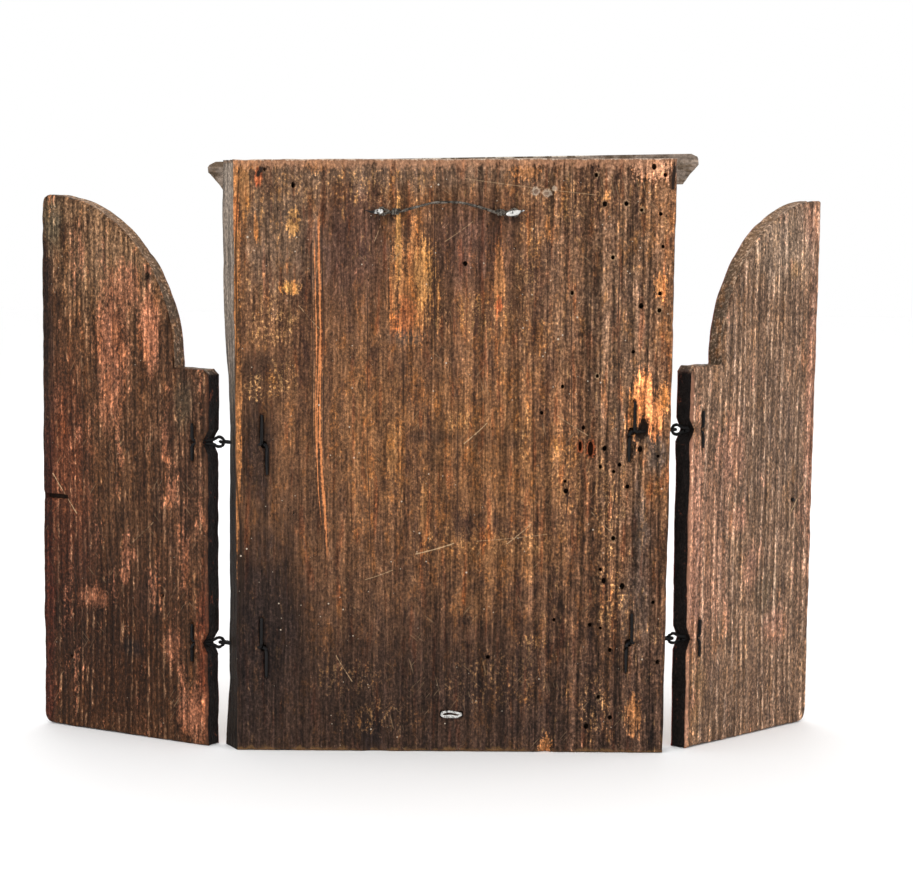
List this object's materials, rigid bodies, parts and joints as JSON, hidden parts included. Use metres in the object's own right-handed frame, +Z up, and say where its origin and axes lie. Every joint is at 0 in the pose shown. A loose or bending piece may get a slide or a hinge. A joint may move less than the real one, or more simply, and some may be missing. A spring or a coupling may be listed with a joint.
{
  "type": "triptych altarpiece",
  "caption": "Portable painted triptych: a wooden board with an arched picture and a cornice, and two half-arched wings on wire hinges that fold shut over it.",
  "frame": {"origin": "middle of the central board's underside, halfway through its thickness", "axes": "+Z up, the painted front faces -Y and the plain back faces +Y, +X to the viewer's right as the front is looked at; the right wing is at +X"},
  "size_m": [0.3316, 0.0821, 0.2426],
  "materials": {
    "board_wood": "old unpainted wood with a painted front",
    "wing_wood": "old rubbed paint over wood with a painted inner face",
    "cornice_wood": "chipped ground and paint over wood",
    "dark_iron": "forged wire, dark and rusted",
    "bright_iron": "worn bright"
  },
  "bodies": {
    "panel": {"central_board": "board_wood", "cornice": "cornice_wood", "hanging_wire": "dark_iron", "hanger_nail_right": "bright_iron", "hanger_nail_left": "bright_iron", "lower_staple": "bright_iron", "right_board_eye_upper": "dark_iron", "right_board_eye_lower": "dark_iron", "left_board_eye_upper": "dark_iron", "left_board_eye_lower": "dark_iron"},
    "right_leaf": {"right_wing": "wing_wood", "right_wing_eye_upper": "dark_iron", "right_wing_eye_lower": "dark_iron"},
    "left_leaf": {"left_wing": "wing_wood", "left_wing_eye_upper": "dark_iron", "left_wing_eye_lower": "dark_iron", "latch_nail": "dark_iron"}
  },
  "joints": [
    {"name": "right_wing_hinge", "type": "hinge", "parent": "panel", "child": "right_leaf", "pos_m": [0.09091, -0.0069, 0.1], "axis": [0, 0, -1], "range_deg": [-50.2, 147.8]},
    {"name": "left_wing_hinge", "type": "hinge", "parent": "panel", "child": "left_leaf", "pos_m": [-0.09091, -0.0069, 0.1], "axis": [0, 0, 1], "range_deg": [-64, 134]}
  ]
}
